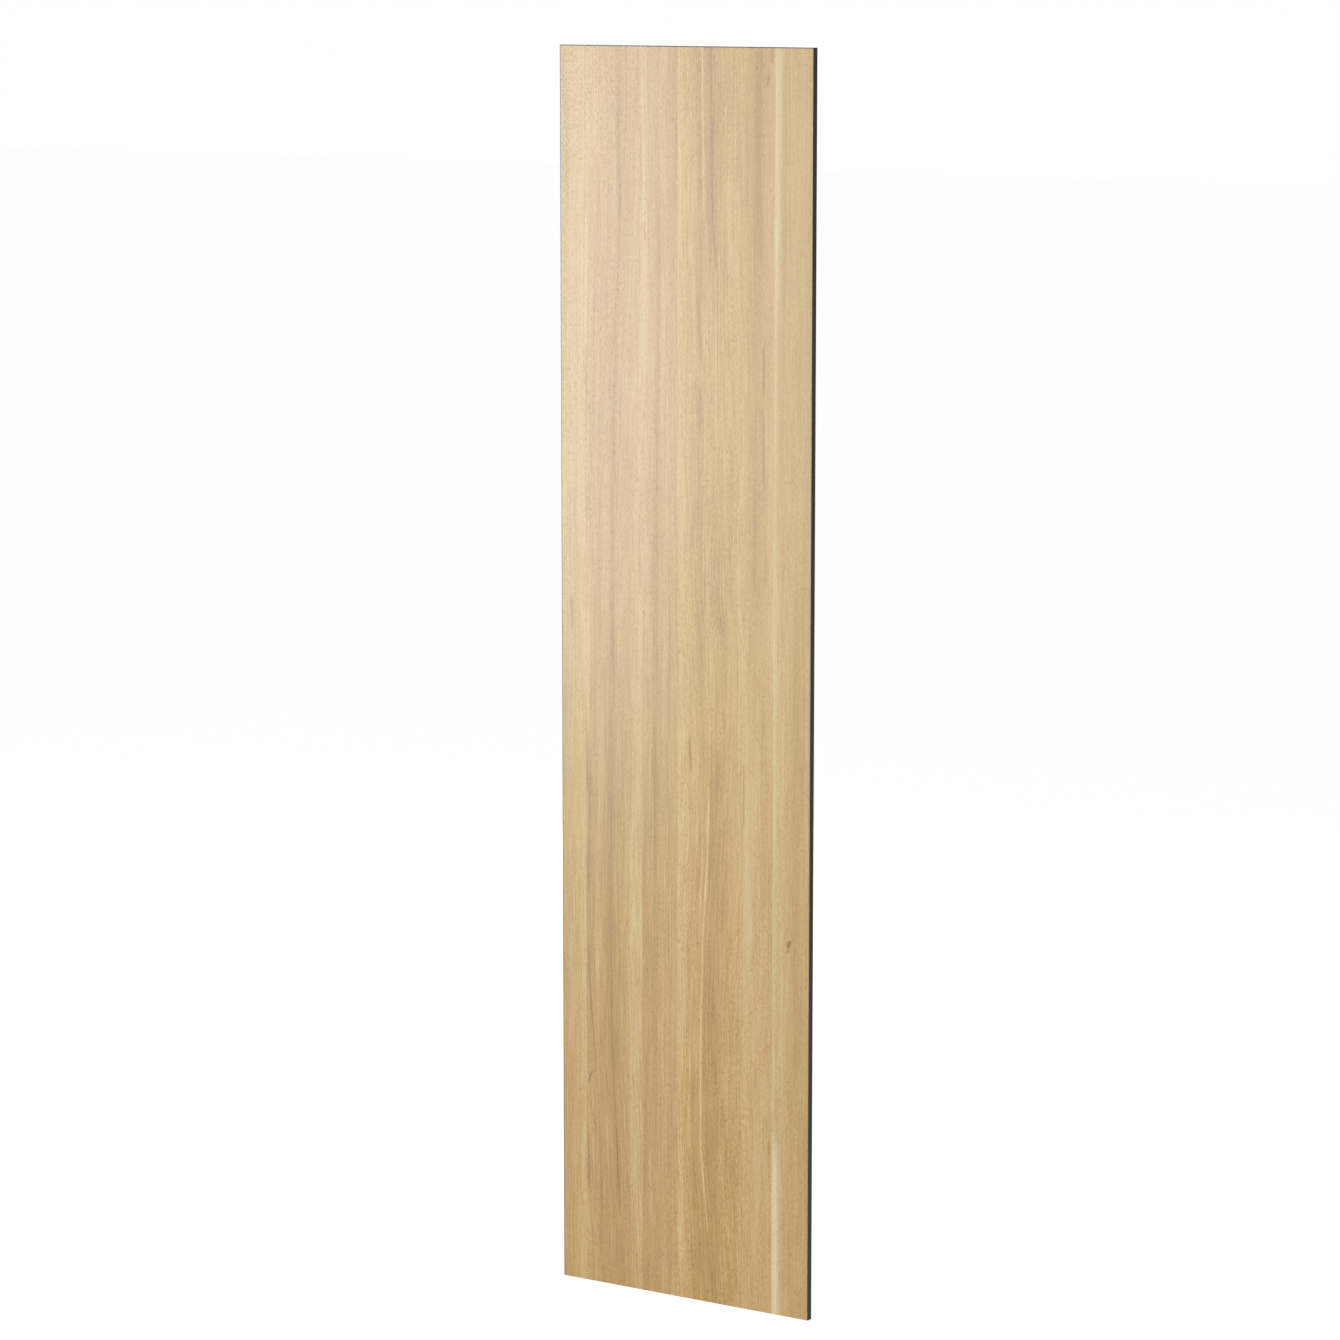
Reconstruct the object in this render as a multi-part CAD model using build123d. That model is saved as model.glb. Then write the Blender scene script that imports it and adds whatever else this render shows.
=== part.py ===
"""Tall cover panel for the side of a pantry cabinet: an oak-veneered board with dark edge bands.

Millimetres. +Z is up, the show face looks along -Y, and the face that is fixed to the cabinet looks
along +Y. The origin is at floor level, in the middle of the panel's foot.
"""
from build123d import *
import os

# Overall size, over the edge bands.
PANEL_HEIGHT = 2400.0
PANEL_WIDTH = 560.0

# The board: a core with one layer of veneer on each face.
CORE_THICKNESS = 12.0
VENEER_THICKNESS = 0.5

# The edge bands. The foot is only sealed, with a thinner strip.
BAND_THICKNESS = 0.8
FOOT_BAND_THICKNESS = 0.4
ARRIS_RADIUS = 0.4

# Leaf widths of the show face, seen from the front. The widest leaf lies between the two groups,
# and is trimmed to what the others leave of the width.
LEFT_LEAF_WIDTHS = (54.0, 130.0, 80.0)
RIGHT_LEAF_WIDTHS = (66.0, 81.0)

# The cabinet face has plain leaves of one width.
BACK_LEAF_COUNT = 4

PANEL_THICKNESS = CORE_THICKNESS + 2 * VENEER_THICKNESS
BOARD_WIDTH = PANEL_WIDTH - 2 * BAND_THICKNESS
BOARD_FOOT_Z = FOOT_BAND_THICKNESS
BOARD_TOP_Z = PANEL_HEIGHT - BAND_THICKNESS
BOARD_LEFT_X = -BOARD_WIDTH / 2

PARTS = "parts"


def slab(left, front, foot, width, depth, height):
    """A box given by its lowest corner and its three sides."""
    corner = (Align.MIN, Align.MIN, Align.MIN)
    return Pos(left, front, foot) * Box(width, depth, height, align=corner)


def core_board():
    """The particle board in the middle, the same size as the pressed board before it is banded."""
    front = -CORE_THICKNESS / 2
    height = BOARD_TOP_Z - BOARD_FOOT_Z
    return slab(BOARD_LEFT_X, front, BOARD_FOOT_Z, BOARD_WIDTH, CORE_THICKNESS, height)


def veneer_leaves(widths, front):
    """Leaves side by side from the left, with their front surfaces at y = front."""
    height = BOARD_TOP_Z - BOARD_FOOT_Z
    leaves = []
    left = BOARD_LEFT_X
    for width in widths:
        leaves.append(slab(left, front, BOARD_FOOT_Z, width, VENEER_THICKNESS, height))
        left += width
    return leaves


def front_leaf_widths():
    """All widths of the show face, with the middle leaf trimmed to make up the board's width."""
    middle = BOARD_WIDTH - sum(LEFT_LEAF_WIDTHS) - sum(RIGHT_LEAF_WIDTHS)
    return (*LEFT_LEAF_WIDTHS, middle, *RIGHT_LEAF_WIDTHS)


def side_band(side):
    """A full-height band on the left (side = -1) or right (side = 1) edge, over the other bands' ends."""
    outer = side * PANEL_WIDTH / 2
    left = min(outer, outer - side * BAND_THICKNESS)
    front = -PANEL_THICKNESS / 2
    band = slab(left, front, 0, BAND_THICKNESS, PANEL_THICKNESS, PANEL_HEIGHT)
    outer_face = band.faces().sort_by(Axis.X)[-1 if side > 0 else 0]
    long_edges = outer_face.edges().filter_by(Axis.Z)
    top_edges = band.faces().sort_by(Axis.Z)[-1].edges().filter_by(Axis.X)
    return fillet(long_edges + top_edges, ARRIS_RADIUS)


def top_band():
    """The band on the top edge, between the side bands."""
    foot = PANEL_HEIGHT - BAND_THICKNESS
    front = -PANEL_THICKNESS / 2
    band = slab(BOARD_LEFT_X, front, foot, BOARD_WIDTH, PANEL_THICKNESS, BAND_THICKNESS)
    top_edges = band.faces().sort_by(Axis.Z)[-1].edges().filter_by(Axis.X)
    return fillet(top_edges, ARRIS_RADIUS)


def foot_band():
    """The thin sealing strip on the foot, square so that the panel stands flat."""
    front = -PANEL_THICKNESS / 2
    return slab(BOARD_LEFT_X, front, 0, BOARD_WIDTH, PANEL_THICKNESS, FOOT_BAND_THICKNESS)


def all_nodes():
    """Every piece of the panel by its node name."""
    nodes = {"core_board": core_board()}
    show_face = veneer_leaves(front_leaf_widths(), -PANEL_THICKNESS / 2)
    for number, leaf in enumerate(show_face, start=1):
        nodes[f"front_leaf_{number}"] = leaf
    back_width = BOARD_WIDTH / BACK_LEAF_COUNT
    cabinet_face = veneer_leaves([back_width] * BACK_LEAF_COUNT, CORE_THICKNESS / 2)
    for number, leaf in enumerate(cabinet_face, start=1):
        nodes[f"back_leaf_{number}"] = leaf
    nodes["left_edge_band"] = side_band(-1)
    nodes["right_edge_band"] = side_band(1)
    nodes["top_edge_band"] = top_band()
    nodes["foot_edge_band"] = foot_band()
    return nodes


os.makedirs(PARTS, exist_ok=True)
for name, shape in all_nodes().items():
    export_step(shape, f"{PARTS}/{name}.step")
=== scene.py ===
import math
from collections import namedtuple

import bpy
from bpy.props import FloatProperty, FloatVectorProperty, IntProperty, PointerProperty
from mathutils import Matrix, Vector


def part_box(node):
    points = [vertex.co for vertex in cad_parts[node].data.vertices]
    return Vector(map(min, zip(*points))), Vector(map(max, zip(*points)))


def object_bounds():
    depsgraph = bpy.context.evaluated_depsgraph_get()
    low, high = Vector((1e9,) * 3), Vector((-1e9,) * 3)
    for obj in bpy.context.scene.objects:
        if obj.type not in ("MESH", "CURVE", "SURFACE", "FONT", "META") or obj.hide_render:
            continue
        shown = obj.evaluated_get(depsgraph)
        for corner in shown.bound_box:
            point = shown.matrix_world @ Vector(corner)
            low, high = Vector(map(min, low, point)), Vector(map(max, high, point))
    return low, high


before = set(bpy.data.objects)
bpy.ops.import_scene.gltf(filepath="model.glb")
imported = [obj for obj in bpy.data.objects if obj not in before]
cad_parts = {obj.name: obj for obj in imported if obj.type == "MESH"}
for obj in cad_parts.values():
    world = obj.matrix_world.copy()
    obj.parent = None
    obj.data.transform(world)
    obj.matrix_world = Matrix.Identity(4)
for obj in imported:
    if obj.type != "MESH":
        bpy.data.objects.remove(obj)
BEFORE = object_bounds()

bl_info = {
    "name": "Pantry Cover Panel",
    "version": (1, 0, 0),
    "blender": (4, 5, 0),
    "location": "View3D > Sidebar > Cover Panel",
    "description": "Gives a tall veneered cover panel its oak, edge bands and studio",
    "category": "Object",
}

# A millimetre, the panel's corner at the foot of its left side, its size, and the thickness
# of its dark bands, all in metres.
MM = 0.001
LEFT = BEFORE[0].x
FOOT = BEFORE[0].z
WIDTH = BEFORE[1].x - BEFORE[0].x
HEIGHT = BEFORE[1].z - BEFORE[0].z
HALF_THICKNESS = (BEFORE[1].y - BEFORE[0].y) / 2
BAND = BEFORE[1].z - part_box("front_leaf_1")[1].z

# A mark is a soft line of lighter or darker wood. Its line is (height, distance from
# the panel's left edge) in millimetres, read from the top down; width and fade are in
# millimetres, and strength is how much tone it adds.
Mark = namedtuple("Mark", "line width strength fade")

# A leaf of veneer: its mean tone, how pink, golden or green it is, how far the grain
# drifts sideways, how lively its fine lines and flecks are, and its marks.
Leaf = namedtuple("Leaf", "tone pink gold green drift lines flecks marks")

# A layer of a finish's figure: how far its lumps reach across and along the grain in
# metres, the number that sets it apart from the other layers, and how much detail it has.
Layer = namedtuple("Layer", "across along number detail")

WIDE_WANDER = Layer(0.07, 0.42, 0.3, 1.0)
SMALL_WANDER = Layer(0.02, 0.11, 0.7, 1.0)
BLOTCH = Layer(0.05, 0.09, 3.0, 2.0)
STRAND = Layer(0.003, 0.085, 3.4, 1.0)
CLUSTER = Layer(0.028, 0.13, 3.6, 1.0)
MOTTLE = Layer(0.0032, 0.012, 3.7, 1.0)
RING_LIFE = Layer(0.004, 0.25, 4.0, 1.0)
FIBRE = Layer(0.0009, 0.055, 5.0, 1.0)
PORE = Layer(0.0006, 0.007, 6.0, 1.0)
FLECK = Layer(0.007, 0.0022, 7.0, 1.0)
FLECK_PATCH = Layer(0.03, 0.07, 8.0, 1.0)
HUE = Layer(0.01, 0.3, 9.0, 2.0)
EMBOSS = Layer(0.0012, 0.004, 31.0, 3.0)
RUB_CLOUD = Layer(0.03, 0.2, 33.0, 2.0)
PAPER_GRAIN = Layer(0.0008, 0.05, 41.0, 2.0)
SCUFF = Layer(0.004, 0.012, 43.0, 3.0)

# How far the broad bands and the streaks reach along the grain, and how far the grain
# wanders sideways, in metres. The cross flecks lean sideways by a share of the height.
BAND_LENGTH = 1.1
STREAK_LENGTH = 0.62
WIDE_SHIFT = 0.006
SMALL_SHIFT = 0.0016
FLECK_LEAN = 0.14

# How much tone the layers add.
BLOTCH_TONE = 0.03
STRAND_TONE = 0.13
MOTTLE_TONE = 0.10
DASH_TONE = 0.055

# Towards the foot the wood grows warmer and a little lighter, and its fine grain stronger.
# The heights, in metres, are where that starts and where it is full.
WARM_START = 1.5
WARM_FULL = 0.2
WARM_TONE = 0.009
WARM_FINE = 0.3

# What the wood's colour is multiplied by where it leans pink, green, golden or warm, and
# how far it swings between pink and green by itself.
PINK_LEAN = (1.025, 0.985, 1.06)
GREEN_LEAN = (0.955, 1.01, 0.93)
GOLD_LEAN = (1.02, 0.99, 0.86)
WARM_LEAN = (1.025, 0.97, 0.97)
HUE_SWING = 2.2

# The arched figure of the back: an arch's width and a ring's height in metres, how many
# rings cross the width, and how much stronger they are than on the face.
ARCH_WIDTH = 0.05
ARCH_RING = 0.3
ARCH_RINGS = 4.0
ARCH_STRENGTH = 2.4

# How far from each face the edge bands are rubbed, in metres.
RUB_WIDTH = 0.0011

WHITE = (1.0, 1.0, 1.0, 1.0)

FRONT_LEAVES = {
    "front_leaf_1": Leaf(
        tone=0.341, pink=0.0, gold=0.15, green=0.6, lines=0.75, flecks=0.9,
        drift=((2400, 2), (1800, 0), (1200, -1), (600, 1), (0, 0)),
        marks=(
            Mark(((2400, 9), (1700, 8)), 8, -0.035, 300),
            Mark(((1350, 8), (0, 10)), 16, -0.035, 500),
            Mark(((1700, 8), (1250, 8)), 9, 0.012, 200),
            Mark(((2400, 45), (1200, 49), (0, 50)), 9, 0.013, 0),
            Mark(((900, 51), (0, 51)), 6, 0.014, 300),
            Mark(((1350, 22), (1290, 25)), 2.4, -0.13, 20),
            Mark(((1180, 6), (980, 7)), 5, -0.025, 80),
            Mark(((2300, 16), (2080, 17)), 4, -0.045, 90),
            Mark(((1500, 37), (1380, 36)), 3, -0.03, 60),
        ),
    ),
    "front_leaf_2": Leaf(
        tone=0.326, pink=0.1, gold=0.0, green=0.3, lines=0.95, flecks=0.9,
        drift=((2400, 6), (2100, 6), (1850, 0), (1350, -8), (600, -13), (350, -6), (100, 2)),
        marks=(
            Mark(((2400, 130), (2150, 134), (2050, 132), (1880, 124), (1500, 119),
                  (1200, 117)), 8, -0.042, 100),
            Mark(((2350, 133), (2150, 136), (2050, 134), (1880, 126), (1500, 119),
                  (1200, 117)), 1.8, -0.040, 100),
            Mark(((1250, 117), (900, 112), (600, 111), (350, 121), (150, 131)), 6, -0.035, 90),
            Mark(((1000, 114), (600, 112), (350, 121), (150, 131)), 1.8, -0.04, 90),
            Mark(((2330, 131), (2080, 133)), 4, -0.03, 120),
            Mark(((2050, 92), (1600, 90)), 16, -0.02, 250),
            Mark(((2400, 152), (2050, 153)), 5, -0.015, 120),
            Mark(((1250, 114), (0, 116)), 34, -0.040, 450),
            Mark(((900, 101), (350, 101)), 8, -0.018, 150),
            Mark(((1200, 70), (850, 70)), 14, -0.018, 200),
            Mark(((2400, 186), (1500, 184), (0, 184)), 14, 0.032, 0),
            Mark(((1300, 170), (300, 168)), 11, 0.032, 500),
            Mark(((900, 158), (0, 162)), 8, 0.025, 300),
            Mark(((2400, 66), (2100, 62)), 8, 0.03, 200),
            Mark(((2080, 58), (1840, 55)), 5, 0.055, 60),
            Mark(((1330, 62), (1080, 60)), 4.5, 0.045, 70),
            Mark(((1040, 60), (500, 62)), 10, -0.04, 200),
            Mark(((1110, 57), (980, 58)), 2.6, -0.07, 30),
            Mark(((1000, 63), (760, 59)), 2.6, -0.055, 90),
            Mark(((1180, 90), (500, 83)), 5.5, 0.036, 200),
            Mark(((680, 60), (600, 63), (520, 69), (430, 77)), 2.2, -0.10, 50),
            Mark(((780, 79), (600, 78)), 1.8, 0.05, 60),
            Mark(((422, 68), (398, 57)), 2.8, -0.13, 10),
            Mark(((370, 56), (345, 66), (300, 77)), 2.0, -0.06, 25),
            Mark(((300, 58), (190, 60)), 2.8, -0.11, 40),
            Mark(((1620, 89), (1250, 86)), 5, -0.045, 200),
            Mark(((1500, 70), (1240, 76)), 2.5, -0.015, 80),
            Mark(((1600, 60), (1320, 60)), 5, -0.022, 100),
            Mark(((1790, 55), (1700, 65)), 2.4, -0.075, 30),
            Mark(((2180, 90), (2040, 84)), 4, -0.025, 60),
            Mark(((300, 88), (60, 86)), 4, -0.04, 80),
        ),
    ),
    "front_leaf_3": Leaf(
        tone=0.336, pink=0.1, gold=0.1, green=0.15, lines=0.8, flecks=1.0,
        drift=((2400, 6), (1800, 3), (1200, 0), (600, 0), (0, 2)),
        marks=(
            Mark(((2100, 221), (1800, 220), (1500, 215), (1200, 214), (600, 214), (0, 217)),
                 5.5, -0.033, 250),
            Mark(((2400, 222), (2000, 221)), 3, -0.02, 150),
            Mark(((1700, 216), (500, 211)), 11, -0.042, 500),
            Mark(((2400, 184), (1600, 184)), 12, 0.050, 600),
            Mark(((1000, 190), (0, 192)), 10, -0.04, 400),
            Mark(((2400, 260), (2050, 261)), 6, -0.03, 200),
            Mark(((1600, 261), (1250, 262)), 5, -0.03, 200),
            Mark(((2400, 234), (1750, 232)), 6, 0.015, 300),
            Mark(((1600, 246), (1200, 246)), 2.5, -0.03, 100),
            Mark(((1200, 234), (850, 234)), 14, -0.018, 150),
            Mark(((400, 236), (0, 236)), 16, -0.014, 150),
            Mark(((2116, 188), (2108, 203)), 1.8, -0.09, 3),
            Mark(((2062, 188), (2038, 194)), 2.2, -0.07, 12),
            Mark(((1210, 199), (1150, 198)), 2.4, -0.06, 20),
            Mark(((1300, 246), (1100, 245)), 3.5, -0.05, 70),
            Mark(((1000, 246), (820, 246)), 4, -0.04, 70),
            Mark(((2010, 250), (1970, 262)), 2.5, -0.04, 15),
        ),
    ),
    "front_leaf_4": Leaf(
        tone=0.341, pink=0.0, gold=1.0, green=0.0, lines=1.1, flecks=1.4,
        drift=((2400, -4), (2000, 0), (1600, 4), (1400, 0), (1250, 14), (1000, 12), (800, 4),
               (600, -4), (350, -6), (200, 4), (0, 16)),
        marks=(
            Mark(((2400, 269), (1200, 270), (600, 274), (0, 272)), 13, 0.034, 0),
            Mark(((2400, 310), (1200, 312)), 9, -0.033, 200),
            Mark(((450, 306), (0, 308)), 8, -0.045, 120),
            Mark(((2400, 319), (2260, 320), (2080, 322)), 1.6, 0.10, 60),
            Mark(((2400, 338), (2200, 340), (2060, 344), (1985, 356)), 2.2, -0.085, 30),
            Mark(((2400, 340), (1950, 341)), 18, -0.055, 250),
            Mark(((2000, 350), (1700, 350)), 1.8, 0.05, 60),
            Mark(((1985, 355), (1850, 353), (1700, 354)), 2.0, -0.075, 40),
            Mark(((2000, 384), (1620, 384)), 8, 0.022, 150),
            Mark(((2000, 296), (1650, 296)), 5, 0.012, 150),
            Mark(((850, 280), (400, 280)), 8, 0.012, 150),
            Mark(((1640, 328), (1400, 322), (1250, 339), (1100, 338), (1000, 336),
                  (900, 333)), 1.6, 0.05, 60),
            Mark(((1150, 342), (1000, 341), (850, 336), (650, 327), (450, 324)), 3.0, -0.04, 80),
            Mark(((1640, 318), (1450, 316), (1250, 322), (1000, 326)), 8, -0.03, 150),
            Mark(((1000, 336), (900, 333), (800, 328), (650, 321), (450, 318), (330, 318),
                  (270, 322), (200, 328), (150, 333)), 2.0, 0.11, 60),
            Mark(((1560, 345), (1180, 362)), 22, -0.04, 120),
            Mark(((1080, 354), (800, 348), (560, 340), (330, 338), (0, 342)), 20, -0.066, 150),
            Mark(((2400, 392), (1100, 398)), 12, 0.012, 250),
            Mark(((1900, 410), (0, 408)), 9, 0.025, 300),
            Mark(((1420, 326), (1340, 326)), 3, -0.06, 30),
            Mark(((1100, 292), (1035, 296)), 2.6, -0.15, 16),
            Mark(((820, 368), (735, 364)), 2.6, -0.07, 25),
            Mark(((2260, 342), (2190, 341)), 4, -0.06, 30),
            Mark(((1760, 316), (1680, 315)), 5, -0.06, 40),
            Mark(((2080, 318), (1900, 314)), 5, -0.02, 60),
            Mark(((480, 352), (430, 350)), 2.5, -0.06, 20),
            Mark(((410, 368), (360, 369)), 2.5, -0.05, 20),
            Mark(((330, 378), (280, 376)), 2.5, -0.05, 20),
            Mark(((1940, 310), (1820, 316)), 4, -0.05, 40),
        ),
    ),
    "front_leaf_5": Leaf(
        tone=0.363, pink=0.1, gold=0.75, green=0.05, lines=0.6, flecks=1.1,
        drift=((2400, 2), (1600, 0), (1000, -2), (400, 0), (0, 3)),
        marks=(
            Mark(((2400, 438), (1250, 438)), 22, -0.052, 500),
            Mark(((2400, 448), (2220, 443), (2000, 452)), 11, -0.05, 70),
            Mark(((2300, 414), (2100, 418)), 5, -0.05, 80),
            Mark(((1850, 455), (1760, 455)), 2.2, -0.13, 16),
            Mark(((1725, 454), (1590, 456)), 2.2, -0.09, 30),
            Mark(((1060, 413), (945, 414)), 2.6, -0.13, 30),
            Mark(((2400, 470), (2372, 471)), 2.8, -0.11, 8),
            Mark(((2350, 463), (2328, 461)), 2.8, -0.11, 8),
            Mark(((335, 472), (312, 472)), 2.6, -0.08, 8),
            Mark(((1050, 421), (300, 420)), 10, 0.03, 400),
            Mark(((1200, 455), (850, 460)), 14, -0.03, 200),
            Mark(((1580, 437), (1400, 436)), 6, -0.02, 60),
            Mark(((1470, 462), (1400, 462)), 4, -0.04, 30),
        ),
    ),
    "front_leaf_6": Leaf(
        tone=0.348, pink=0.0, gold=0.5, green=0.25, lines=0.6, flecks=0.85,
        drift=((2400, 0), (1400, 1), (700, 0), (0, 2)),
        marks=(
            Mark(((2400, 487), (1950, 482)), 8, 0.06, 300),
            Mark(((2400, 479), (0, 479)), 7, 0.06, 0),
            Mark(((1300, 492), (0, 496)), 13, 0.03, 700),
            Mark(((340, 485), (0, 486)), 9, 0.122, 100),
            Mark(((2400, 501), (1850, 498)), 5, -0.03, 300),
            Mark(((2400, 512), (2050, 518)), 9, 0.016, 200),
            Mark(((1150, 499), (450, 500)), 2.5, 0.025, 150),
            Mark(((1250, 552), (850, 552)), 3, 0.03, 150),
            Mark(((2400, 559), (0, 559)), 10, -0.022, 0),
            Mark(((1560, 544), (950, 544)), 4, -0.025, 150),
            Mark(((995, 478), (988, 492), (984, 512)), 2.0, -0.06, 3),
            Mark(((733, 516), (721, 513.5)), 3.0, -0.30, 5),
            Mark(((722, 513), (710, 512)), 2.6, -0.16, 5),
            Mark(((1250, 530), (450, 532)), 9, -0.03, 200),
            Mark(((1400, 526), (1150, 524)), 6, -0.025, 120),
            Mark(((2100, 536), (1700, 532)), 5, -0.025, 150),
        ),
    ),
}

# The four leaves of the back come from one log: their tone goes up and down by turns, and
# their figure changes a little from each to the next.
BACK_LEAF = Leaf(tone=0.352, pink=0.2, gold=0.2, green=0.0, lines=0.9, flecks=0.5,
                 drift=((2400, 0), (1200, 2), (0, 0)), marks=())
BACK_TURN = 0.006
BACK_SEED = 90.0
BACK_CHANGE = 0.06


class VeneerSettings(bpy.types.PropertyGroup):
    deep_wood: FloatVectorProperty(
        name="Deep wood", description="Colour of the darkest veins of the oak",
        subtype="COLOR", default=(0.200, 0.116, 0.030))
    brown_wood: FloatVectorProperty(
        name="Brown wood", description="Colour of the heartwood's darker stripes",
        subtype="COLOR", default=(0.412, 0.266, 0.096))
    honey_wood: FloatVectorProperty(
        name="Honey wood", description="Colour of most of the face",
        subtype="COLOR", default=(0.458, 0.327, 0.144))
    straw_wood: FloatVectorProperty(
        name="Straw wood", description="Colour of the lighter stripes",
        subtype="COLOR", default=(0.485, 0.391, 0.207))
    sapwood: FloatVectorProperty(
        name="Sapwood", description="Colour of the palest strip beside a joint",
        subtype="COLOR", default=(0.569, 0.510, 0.332))
    fine_strength: FloatProperty(
        name="Fine grain", description="How strong all the fine grain is", default=1.1)
    # Painted shade: this near-black colour is a glue line together with painted shade on the
    # veneer beside the dark bands.
    glue_and_shade_colour: FloatVectorProperty(
        name="Glue line and shade", description="Colour of the glue line and painted shade beside the dark edge bands",
        subtype="COLOR", default=(0.055, 0.045, 0.032))
    # How wide that glue line and its painted shade are on the veneer.
    glue_and_shade_width: FloatProperty(
        name="Glue line and shade width", description="How far the glue line and painted shade reach on the veneer",
        unit="LENGTH", default=0.0009)
    lightness: FloatProperty(
        name="Lightness", description="How light the whole wood is",
        min=0.5, max=1.5, default=0.99)
    band_width: FloatProperty(
        name="Band width", description="Width of the broad soft bands of tone",
        unit="LENGTH", default=0.024)
    band_strength: FloatProperty(
        name="Band strength", description="Tone of the broad bands", default=0.045)
    streak_width: FloatProperty(
        name="Streak width", description="Width of the streaks along the grain",
        unit="LENGTH", default=0.008)
    streak_strength: FloatProperty(
        name="Streak strength", description="Tone of the streaks", default=0.075)
    ring_width: FloatProperty(
        name="Ring width", description="Distance between the growth rings on the face",
        unit="LENGTH", default=0.0034)
    ring_strength: FloatProperty(
        name="Ring strength", description="Tone of each ring's dark side", default=0.05)
    fibre_strength: FloatProperty(
        name="Fibre strength", description="Tone of the finest fibres", default=0.08)
    pore_strength: FloatProperty(
        name="Pore strength", description="How dark the open pores are", default=0.09)
    fleck_strength: FloatProperty(
        name="Fleck strength", description="Tone of the small cross flecks", default=0.035)
    gloss_roughness: FloatProperty(
        name="Lacquer roughness", description="How wide the satin lacquer's sheen spreads",
        subtype="FACTOR", min=0.0, max=1.0, default=0.34)
    pore_depth: FloatProperty(
        name="Pore depth", description="Depth of the pores under the lacquer",
        unit="LENGTH", default=0.00012)
    seed: IntProperty(
        name="Seed", description="Chooses another tree for the unmarked figure", default=4)


class EdgeSettings(bpy.types.PropertyGroup):
    band_colour: FloatVectorProperty(
        name="Band colour", description="Colour of the dark plastic edge band",
        subtype="COLOR", default=(0.034, 0.030, 0.027))
    worn_colour: FloatVectorProperty(
        name="Worn colour", description="Colour of the band where it is rubbed",
        subtype="COLOR", default=(0.075, 0.068, 0.062))
    band_roughness: FloatProperty(
        name="Band roughness", description="Roughness of the embossed plastic",
        subtype="FACTOR", min=0.0, max=1.0, default=0.62)
    foot_colour: FloatVectorProperty(
        name="Foot strip colour", description="Colour of the paper strip under the panel",
        subtype="COLOR", default=(0.24, 0.15, 0.08))
    chip_light: FloatVectorProperty(
        name="Light chips", description="Colour of the board's pale wood chips",
        subtype="COLOR", default=(0.55, 0.42, 0.26))
    chip_dark: FloatVectorProperty(
        name="Dark chips", description="Colour of the board's brown wood chips",
        subtype="COLOR", default=(0.33, 0.22, 0.12))


class StageSettings(bpy.types.PropertyGroup):
    azimuth: FloatProperty(
        name="Camera azimuth", description="Angle of the camera round from the face",
        unit="ROTATION", subtype="ANGLE", default=math.radians(32.907))
    elevation: FloatProperty(
        name="Camera elevation", description="Angle of the camera above level",
        unit="ROTATION", subtype="ANGLE", default=math.radians(8.935))
    distance: FloatProperty(
        name="Camera distance", description="From the aim point to the camera",
        unit="LENGTH", default=8.604)
    aim: FloatVectorProperty(
        name="Aim point", description="Where the camera looks",
        subtype="XYZ", unit="LENGTH", default=(-0.0256, -0.0166, 1.2285))
    lens: FloatProperty(
        name="Lens", description="Focal length, for a sensor 36 mm wide",
        unit="CAMERA", default=121.98)
    world_light: FloatProperty(
        name="Surrounding light", description="Brightness of the white room", default=0.15)
    backdrop_light: FloatProperty(
        name="Backdrop light", description="Brightness of the white backdrop", default=1.0)
    floor_glow: FloatProperty(
        name="Floor glow", description="Light that the lit floor gives by itself",
        default=0.95)
    key_place: FloatVectorProperty(
        name="Key light place", description="Centre of the big front softbox",
        subtype="XYZ", unit="LENGTH", default=(-3.7, -4.0, 1.7))
    key_size: FloatVectorProperty(
        name="Key light size", description="Width and height of the front softbox",
        size=2, unit="LENGTH", default=(1.8, 3.1))
    key_power: FloatProperty(
        name="Key light power", description="Power of the front softbox",
        unit="POWER", default=275.0)
    back_place: FloatVectorProperty(
        name="Back light place", description="Centre of the softbox behind the panel",
        subtype="XYZ", unit="LENGTH", default=(-2.6, 4.2, 2.0))
    back_size: FloatVectorProperty(
        name="Back light size", description="Width and height of the back softbox",
        size=2, unit="LENGTH", default=(2.4, 2.6))
    back_power: FloatProperty(
        name="Back light power", description="Power of the softbox behind the panel",
        unit="POWER", default=115.0)


class Value:
    """A socket of a finish. Each sum written with it adds the Math node it stands for."""

    def __init__(self, finish, socket):
        self.finish = finish
        self.socket = socket

    def sum(self, operation, first, second=0.0):
        return self.finish.node("ShaderNodeMath", {"operation": operation},
                                {0: first, 1: second})

    def __add__(self, other):
        return self.sum("ADD", self, other)

    def __radd__(self, other):
        return self.sum("ADD", other, self)

    def __sub__(self, other):
        return self.sum("SUBTRACT", self, other)

    def __rsub__(self, other):
        return self.sum("SUBTRACT", other, self)

    def __mul__(self, other):
        return self.sum("MULTIPLY", self, other)

    def __rmul__(self, other):
        return self.sum("MULTIPLY", other, self)

    def __truediv__(self, other):
        return self.sum("DIVIDE", self, other)

    def __rtruediv__(self, other):
        return self.sum("DIVIDE", other, self)

    def __pow__(self, other):
        return self.sum("POWER", self, other)

    def __rpow__(self, other):
        return self.sum("POWER", other, self)

    def __mod__(self, other):
        return self.sum("FLOORED_MODULO", self, other)

    def __rmod__(self, other):
        return self.sum("FLOORED_MODULO", other, self)

    def __abs__(self):
        return self.sum("ABSOLUTE", self)


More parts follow.
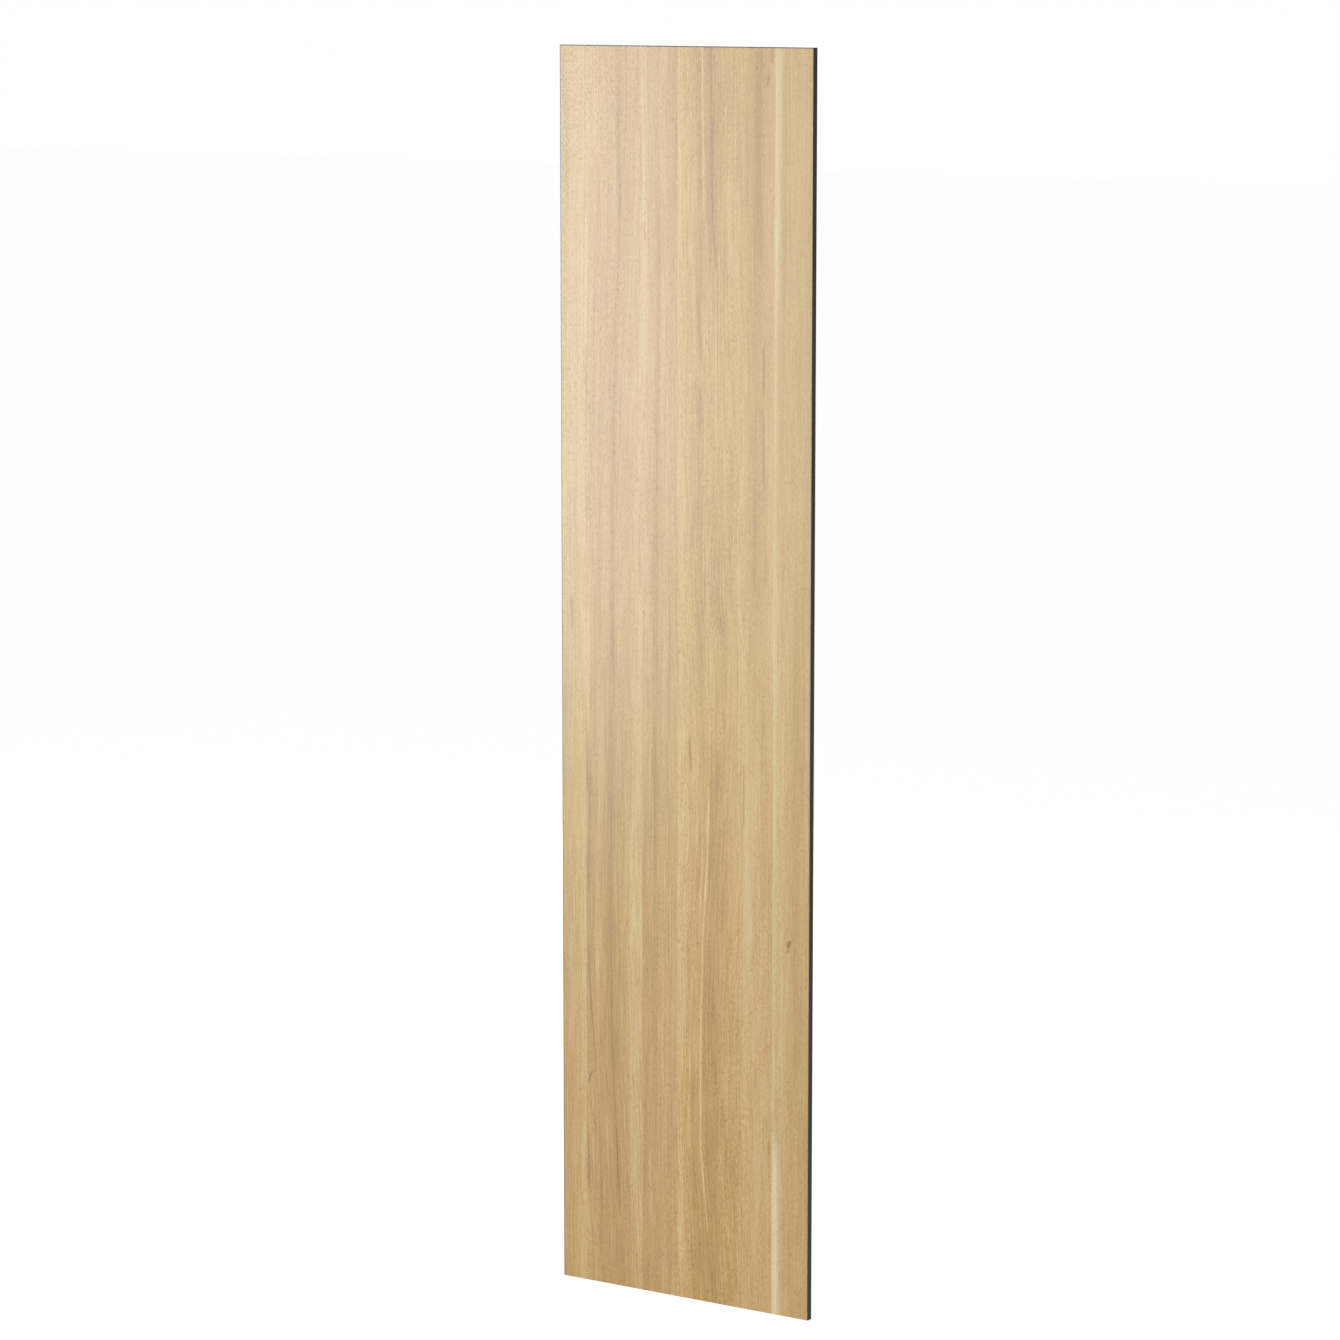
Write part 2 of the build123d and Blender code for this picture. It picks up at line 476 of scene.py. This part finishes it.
class Finish:
    """A material while its nodes are laid."""

    def __init__(self, name):
        self.material = bpy.data.materials.new(name)
        self.material.use_nodes = True
        self.tree = self.material.node_tree
        self.tree.nodes.clear()

    def node(self, kind, settings, sockets, out=0):
        """A node of a kind, its settings made first and then its sockets' values or links."""
        made = self.tree.nodes.new(kind)
        for name, value in settings.items():
            if name == "stops":
                for stop in value[2:]:
                    made.color_ramp.elements.new(stop[0])
                for element, (place, colour) in zip(made.color_ramp.elements, value):
                    element.position = place
                    element.color = (*colour, 1)
            elif name == "points":
                curve = made.mapping.curves[0]
                made.mapping.extend = "HORIZONTAL"
                for point in value[2:]:
                    curve.points.new(*point)
                for point, place in zip(curve.points, value):
                    point.location = place
                made.mapping.update()
            else:
                setattr(made, name, value)
        for name, value in sockets.items():
            if isinstance(value, Value):
                self.tree.links.new(value.socket, made.inputs[name])
            else:
                made.inputs[name].default_value = value
        return None if out is None else Value(self, made.outputs[out])

    def place(self):
        """Where a point of the panel is: across, through and up, in metres."""
        where = self.node("ShaderNodeTexCoord", {}, {}, out="Object")
        return [self.node("ShaderNodeSeparateXYZ", {}, {"Vector": where}, out=axis)
                for axis in ("X", "Y", "Z")]

    def noise(self, side, along, layer, seed=0.0):
        """A layer of noise about nought, at a place across and along the grain."""
        spot = self.node("ShaderNodeCombineXYZ", {}, {
            "X": side / layer.across, "Y": seed + layer.number, "Z": along / layer.along})
        return self.node("ShaderNodeTexNoise", {"noise_dimensions": "3D"},
                         {"Vector": spot, "Scale": 1.0, "Detail": layer.detail}) - 0.5

    def step(self, value, start, end):
        """Nought before start and one after end, with a soft slope between."""
        return self.node("ShaderNodeMapRange", {"interpolation_type": "SMOOTHSTEP"},
                         {"Value": value, "From Min": start, "From Max": end})

    def curve(self, value, points):
        """A smooth curve through points, whose first and second numbers run 0 to 1."""
        return self.node("ShaderNodeFloatCurve", {"points": points}, {"Value": value})

    def path(self, height, line):
        """The side, in metres, where a line of (height, side) in millimetres has a height."""
        sides = [point[1] for point in line]
        low, high = min(sides) - 1, max(sides) + 1
        points = [(h * MM / HEIGHT, (s - low) / (high - low)) for h, s in reversed(line)]
        return self.curve(height / HEIGHT, points) * ((high - low) * MM) + low * MM

    def mix(self, factor, first, second, blend="MIX"):
        """A blend of two colours."""
        both = [c if isinstance(c, Value) else (*c, 1) for c in (first, second)]
        return self.node("ShaderNodeMix", {"data_type": "RGBA", "blend_type": blend},
                         {0: factor, 6: both[0], 7: both[1]}, out=2)

    def surface(self, sockets):
        """Closes the material with a Principled shader."""
        shader = self.node("ShaderNodeBsdfPrincipled", {}, sockets)
        self.node("ShaderNodeOutputMaterial", {}, {"Surface": shader}, out=None)
        return self.material


def put_on(name, material):
    """Gives a CAD piece its finish."""
    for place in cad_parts[name].material_slots:
        place.material = material


def wood_colour(finish, tone, hue, warmth, leaf, settings):
    """The oak's colour for a tone, leaning as the leaf, the hue and the warmth say."""
    colour = finish.node("ShaderNodeValToRGB", {"stops": (
        (0.12, settings.deep_wood), (0.31, settings.brown_wood), (0.36, settings.honey_wood),
        (0.41, settings.straw_wood), (0.50, settings.sapwood))}, {"Fac": tone})
    for share, lean in ((hue * HUE_SWING + leaf.pink, PINK_LEAN),
                        (hue * -HUE_SWING + leaf.green, GREEN_LEAN),
                        (leaf.gold, GOLD_LEAN), (warmth, WARM_LEAN)):
        colour = finish.mix(share, colour, finish.mix(1.0, colour, lean, "MULTIPLY"))
    return colour


def mark_tone(finish, side, height, mark):
    """The tone that one mark adds, with side and height in metres."""
    top, foot = mark.line[0][0] * MM, mark.line[-1][0] * MM
    middle = mark.line[0][1] * MM
    if len({point[1] for point in mark.line}) > 1:
        middle = finish.path(height, mark.line)
    away = (side - middle) / (mark.width * MM)
    shown = math.e ** (away * away * -1.0) * mark.strength
    half = mark.fade * MM / 2
    if top < HEIGHT - MM:
        shown = shown * finish.step(height, top + half, top - half)
    if foot > 0:
        shown = shown * finish.step(height, foot - half, foot + half)
    return shown


def early_wood(finish, rings):
    """The dark, porous side of each growth ring, where rings counts them."""
    turn = rings % 1.0
    fading = finish.step(turn, 0.45, 0.0) * finish.step(turn, 1.0, 0.9)
    return fading + finish.step(turn, 0.9, 1.0)


def glue_and_shade_mask(finish, side, height, settings):
    """One on the veneer and nought on the dark strip beside the left, right and top bands, which
    is a glue line together with painted shade.
    """
    start = BAND + settings.glue_and_shade_width * 0.4
    end = BAND + settings.glue_and_shade_width * 1.6
    beside = finish.step(WIDTH / 2 - abs(side - WIDTH / 2), start, end)
    below = finish.step(HEIGHT - height, start, end)
    return beside * below


def oak(name, leaf, seed, settings, arch=None):
    """The finish of one leaf of oak veneer, whose figure may be arched about a middle."""
    finish = Finish(name)
    x, _, z = finish.place()
    side = x - LEFT
    height = z - FOOT
    wander = (finish.noise(side, height, WIDE_WANDER, seed) * WIDE_SHIFT
              + finish.noise(side, height, SMALL_WANDER, seed) * SMALL_SHIFT)
    across = side - finish.path(height, leaf.drift) + wander

    bands = Layer(settings.band_width, BAND_LENGTH, 1.0, 1.0)
    streaks = Layer(settings.streak_width, STREAK_LENGTH, 2.0, 2.0)
    band = finish.noise(across, height, bands, seed)
    streak = finish.noise(across, height, streaks, seed)
    blotch = finish.noise(side, height, BLOTCH, seed)
    tone = (leaf.tone + band * settings.band_strength
            + streak * (settings.streak_strength * leaf.lines) + blotch * BLOTCH_TONE)
    for mark in leaf.marks:
        tone = tone + mark_tone(finish, side + wander * 0.5, height, mark)

    rings = across / settings.ring_width + band * 5.0 + streak * 1.5
    depth = settings.ring_strength * leaf.lines
    if arch is not None:
        bow = (side - arch) / ARCH_WIDTH
        rings = bow * bow * ARCH_RINGS + height / ARCH_RING + band * 4.0 + streak
        depth = depth * ARCH_STRENGTH
    early = early_wood(finish, rings)
    life = finish.noise(across, height, RING_LIFE, seed) + 0.5
    fibre = finish.noise(across, height, FIBRE, seed)
    pores = finish.step(finish.noise(across, height, PORE, seed) + early * 0.10, 0.12, 0.22)
    fleck = finish.noise(side + height * FLECK_LEAN, height, FLECK, seed)
    patch = finish.noise(side, height, FLECK_PATCH, seed)
    flecks = finish.step(fleck, 0.08, 0.3) * finish.step(patch, -0.1, 0.25)
    strand = finish.noise(across, height, STRAND, seed)
    cluster = finish.step(finish.noise(side, height, CLUSTER, seed), -0.22, 0.25)
    mottle = finish.noise(across, height, MOTTLE, seed) * (cluster * 0.9 + 0.5)
    dashes = finish.step(mottle, 0.04, 0.18)
    fine = (strand * (STRAND_TONE * leaf.lines) + mottle * (MOTTLE_TONE * leaf.flecks)
            - dashes * (DASH_TONE * leaf.flecks) - early * life * depth
            + fibre * settings.fibre_strength - pores * settings.pore_strength
            + flecks * (settings.fleck_strength * leaf.flecks))
    warmth = finish.step(height, WARM_START, WARM_FULL)
    tone = tone + fine * (warmth * WARM_FINE + settings.fine_strength) + warmth * WARM_TONE

    hue = finish.noise(across, height, HUE, seed)
    colour = wood_colour(finish, tone * settings.lightness, hue, warmth, leaf, settings)
    # Painted shade: the veneer turns near black beside the left, right and top bands, a glue line
    # together with painted shade.
    colour = finish.mix(glue_and_shade_mask(finish, side, height, settings), settings.glue_and_shade_colour, colour)
    sheen = (settings.gloss_roughness + blotch * 0.06 + fibre * 0.08 + pores * 0.12
             - flecks * 0.05)
    relief = finish.node("ShaderNodeBump", {}, {
        "Strength": 0.35, "Distance": settings.pore_depth,
        "Height": fibre * 0.5 - pores - early * 0.3})
    return finish.surface({"Base Color": colour, "Roughness": sheen, "Normal": relief})


class PANTRYPANEL_OT_front_veneer(bpy.types.Operator):
    """Lays oak on the six leaves of the face"""

    bl_idname = "pantrypanel.front_veneer"
    bl_label = "Front veneer"

    def execute(self, context):
        settings = context.scene.pantrypanel_veneer
        for number, (name, leaf) in enumerate(FRONT_LEAVES.items()):
            seed = settings.seed + 11.0 * number
            put_on(name, oak("Oak " + name.replace("_", " "), leaf, seed, settings))
        return {"FINISHED"}


class PANTRYPANEL_OT_back_veneer(bpy.types.Operator):
    """Lays slip-matched oak on the leaves of the back"""

    bl_idname = "pantrypanel.back_veneer"
    bl_label = "Back veneer"

    def execute(self, context):
        settings = context.scene.pantrypanel_veneer
        names = sorted(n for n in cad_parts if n.startswith("back_leaf"))
        for number, name in enumerate(names):
            low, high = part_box(name)
            leaf = BACK_LEAF._replace(tone=BACK_LEAF.tone + BACK_TURN * (-1) ** number)
            seed = BACK_SEED + number * BACK_CHANGE
            middle = (low.x + high.x) / 2 - LEFT
            put_on(name, oak("Oak " + name.replace("_", " "), leaf, seed, settings, middle))
        return {"FINISHED"}


class PANTRYPANEL_OT_edge_bands(bpy.types.Operator):
    """Gives the left, right and top edge bands their dark embossed plastic"""

    bl_idname = "pantrypanel.edge_bands"
    bl_label = "Edge bands"

    def execute(self, context):
        settings = context.scene.pantrypanel_edges
        finish = Finish("Dark edge plastic")
        x, y, z = finish.place()
        along = x + z
        emboss = finish.noise(y, along, EMBOSS)
        cloud = finish.noise(y, along, RUB_CLOUD)
        rub = finish.step(abs(y), HALF_THICKNESS - RUB_WIDTH, HALF_THICKNESS)
        rubbed = rub * finish.step(cloud + emboss * 0.5, -0.15, 0.35) * 0.6
        colour = finish.mix(rubbed + emboss * 0.1 + 0.05, settings.band_colour,
                            settings.worn_colour)
        relief = finish.node("ShaderNodeBump", {}, {
            "Strength": 0.3, "Distance": 0.0001, "Height": emboss})
        material = finish.surface({
            "Base Color": colour, "Normal": relief, "Specular IOR Level": 0.35,
            "Roughness": settings.band_roughness + emboss * 0.15 - rubbed * 0.1})
        for name in ("left_edge_band", "right_edge_band", "top_edge_band"):
            put_on(name, material)
        return {"FINISHED"}


class PANTRYPANEL_OT_foot_strip(bpy.types.Operator):
    """Gives the strip under the panel its brown sealed paper"""

    bl_idname = "pantrypanel.foot_strip"
    bl_label = "Foot strip"

    def execute(self, context):
        settings = context.scene.pantrypanel_edges
        finish = Finish("Brown foot paper")
        x, y, _ = finish.place()
        grain = finish.noise(y, x, PAPER_GRAIN)
        dirt = finish.step(finish.noise(y, x, SCUFF), 0.1, 0.3)
        colour = finish.mix(1.0, finish.mix(grain + 0.5, settings.foot_colour, settings.chip_dark),
                            finish.mix(dirt, (1.0, 1.0, 1.0), (0.7, 0.68, 0.66)), "MULTIPLY")
        relief = finish.node("ShaderNodeBump", {}, {
            "Strength": 0.3, "Distance": 0.0001, "Height": grain - dirt})
        put_on("foot_edge_band", finish.surface({
            "Base Color": colour, "Roughness": 0.6 + dirt * 0.15 + grain * 0.1,
            "Normal": relief}))
        return {"FINISHED"}


class PANTRYPANEL_OT_core_board(bpy.types.Operator):
    """Gives the hidden board its pressed wood chips"""

    bl_idname = "pantrypanel.core_board"
    bl_label = "Core board"

    def execute(self, context):
        settings = context.scene.pantrypanel_edges
        finish = Finish("Pressed chips")
        x, y, z = finish.place()
        spot = finish.node("ShaderNodeCombineXYZ", {}, {
            "X": x / 0.006, "Y": y / 0.0012, "Z": z / 0.004})
        chips = finish.node("ShaderNodeTexVoronoi", {}, {"Vector": spot, "Scale": 1.0},
                            out="Color")
        shade = finish.node("ShaderNodeSeparateColor", {}, {"Color": chips}, out="Red")
        colour = finish.mix(shade, settings.chip_dark, settings.chip_light)
        put_on("core_board", finish.surface({
            "Base Color": colour, "Roughness": 0.75 + shade * 0.15}))
        return {"FINISHED"}


class PANTRYPANEL_OT_stage(bpy.types.Operator):
    """Sets the panel in a plain white studio, with its camera and soft lights"""

    bl_idname = "pantrypanel.stage"
    bl_label = "Studio"

    def execute(self, context):
        settings = context.scene.pantrypanel_stage
        scene = context.scene
        self.floor(scene, settings)
        self.lights(scene, settings)
        self.surroundings(scene, settings)
        self.camera(scene, settings)
        scene.view_settings.view_transform = "Standard"
        return {"FINISHED"}

    def floor(self, scene, settings):
        reach = 40.0
        drop = 0.0006
        grey = (0.25, 0.25, 0.25, 1.0)
        mesh = bpy.data.meshes.new("Studio floor")
        corners = [(-reach, -reach), (reach, -reach), (reach, reach), (-reach, reach)]
        mesh.from_pydata([(x, y, FOOT - drop) for x, y in corners], [], [(0, 1, 2, 3)])
        floor = bpy.data.objects.new("Studio floor", mesh)
        scene.collection.objects.link(floor)
        finish = Finish("White studio floor")
        mesh.materials.append(finish.surface({
            "Base Color": grey, "Roughness": 0.8, "Specular IOR Level": 0.0,
            "Emission Color": WHITE, "Emission Strength": settings.floor_glow}))

    def lights(self, scene, settings):
        for name, place, size, power in (
                ("Front softbox", settings.key_place, settings.key_size, settings.key_power),
                ("Back softbox", settings.back_place, settings.back_size,
                 settings.back_power)):
            lamp = bpy.data.lights.new(name, "AREA")
            lamp.shape = "RECTANGLE"
            lamp.size, lamp.size_y = size
            lamp.energy = power
            softbox = bpy.data.objects.new(name, lamp)
            softbox.location = place
            inwards = Vector((-place[0], -place[1], 0.0))
            softbox.rotation_euler = inwards.to_track_quat("-Z", "Y").to_euler()
            softbox.visible_camera = False
            scene.collection.objects.link(softbox)

    def surroundings(self, scene, settings):
        world = bpy.data.worlds.new("White room")
        world.use_nodes = True
        tree = world.node_tree
        tree.nodes.clear()
        room = tree.nodes.new("ShaderNodeBackground")
        room.inputs["Strength"].default_value = settings.world_light
        backdrop = tree.nodes.new("ShaderNodeBackground")
        backdrop.inputs["Strength"].default_value = settings.backdrop_light
        for shown in (room, backdrop):
            shown.inputs["Color"].default_value = WHITE
        seen = tree.nodes.new("ShaderNodeLightPath")
        either = tree.nodes.new("ShaderNodeMixShader")
        output = tree.nodes.new("ShaderNodeOutputWorld")
        tree.links.new(seen.outputs["Is Camera Ray"], either.inputs["Fac"])
        tree.links.new(room.outputs[0], either.inputs[1])
        tree.links.new(backdrop.outputs[0], either.inputs[2])
        tree.links.new(either.outputs[0], output.inputs["Surface"])
        scene.world = world

    def camera(self, scene, settings):
        lens = bpy.data.cameras.new("Catalogue camera")
        lens.sensor_width = 36.0
        lens.lens = settings.lens
        lens.clip_end = 200.0
        lens.dof.use_dof = False
        camera = bpy.data.objects.new("Catalogue camera", lens)
        level = math.cos(settings.elevation)
        out = Vector((math.sin(settings.azimuth) * level, -math.cos(settings.azimuth) * level,
                      math.sin(settings.elevation)))
        camera.location = Vector(settings.aim) + out * settings.distance
        camera.rotation_euler = (-out).to_track_quat("-Z", "Y").to_euler()
        scene.collection.objects.link(camera)
        scene.camera = camera


class PANTRYPANEL_PT_sidebar(bpy.types.Panel):
    """The cover panel's finishes and studio"""

    bl_idname = "PANTRYPANEL_PT_sidebar"
    bl_label = "Cover Panel"
    bl_space_type = "VIEW_3D"
    bl_region_type = "UI"
    bl_category = "Cover Panel"

    def draw(self, context):
        column = self.layout.column(align=True)
        for step in STEPS:
            column.operator(step.bl_idname)
        for group in ("veneer", "edges", "stage"):
            settings = getattr(context.scene, "pantrypanel_" + group)
            box = self.layout.box()
            for name in settings.__annotations__:
                box.prop(settings, name)


STEPS = (
    PANTRYPANEL_OT_front_veneer,
    PANTRYPANEL_OT_back_veneer,
    PANTRYPANEL_OT_edge_bands,
    PANTRYPANEL_OT_foot_strip,
    PANTRYPANEL_OT_core_board,
    PANTRYPANEL_OT_stage,
)
CLASSES = (VeneerSettings, EdgeSettings, StageSettings, *STEPS, PANTRYPANEL_PT_sidebar)


def register():
    for each in CLASSES:
        bpy.utils.register_class(each)
    bpy.types.Scene.pantrypanel_veneer = PointerProperty(type=VeneerSettings)
    bpy.types.Scene.pantrypanel_edges = PointerProperty(type=EdgeSettings)
    bpy.types.Scene.pantrypanel_stage = PointerProperty(type=StageSettings)


def unregister():
    del bpy.types.Scene.pantrypanel_stage
    del bpy.types.Scene.pantrypanel_edges
    del bpy.types.Scene.pantrypanel_veneer
    for each in reversed(CLASSES):
        bpy.utils.unregister_class(each)


def main():
    register()
    bpy.ops.pantrypanel.front_veneer()
    bpy.ops.pantrypanel.back_veneer()
    bpy.ops.pantrypanel.edge_bands()
    bpy.ops.pantrypanel.foot_strip()
    bpy.ops.pantrypanel.core_board()
    bpy.ops.pantrypanel.stage()


if __name__ == "__main__":
    main()
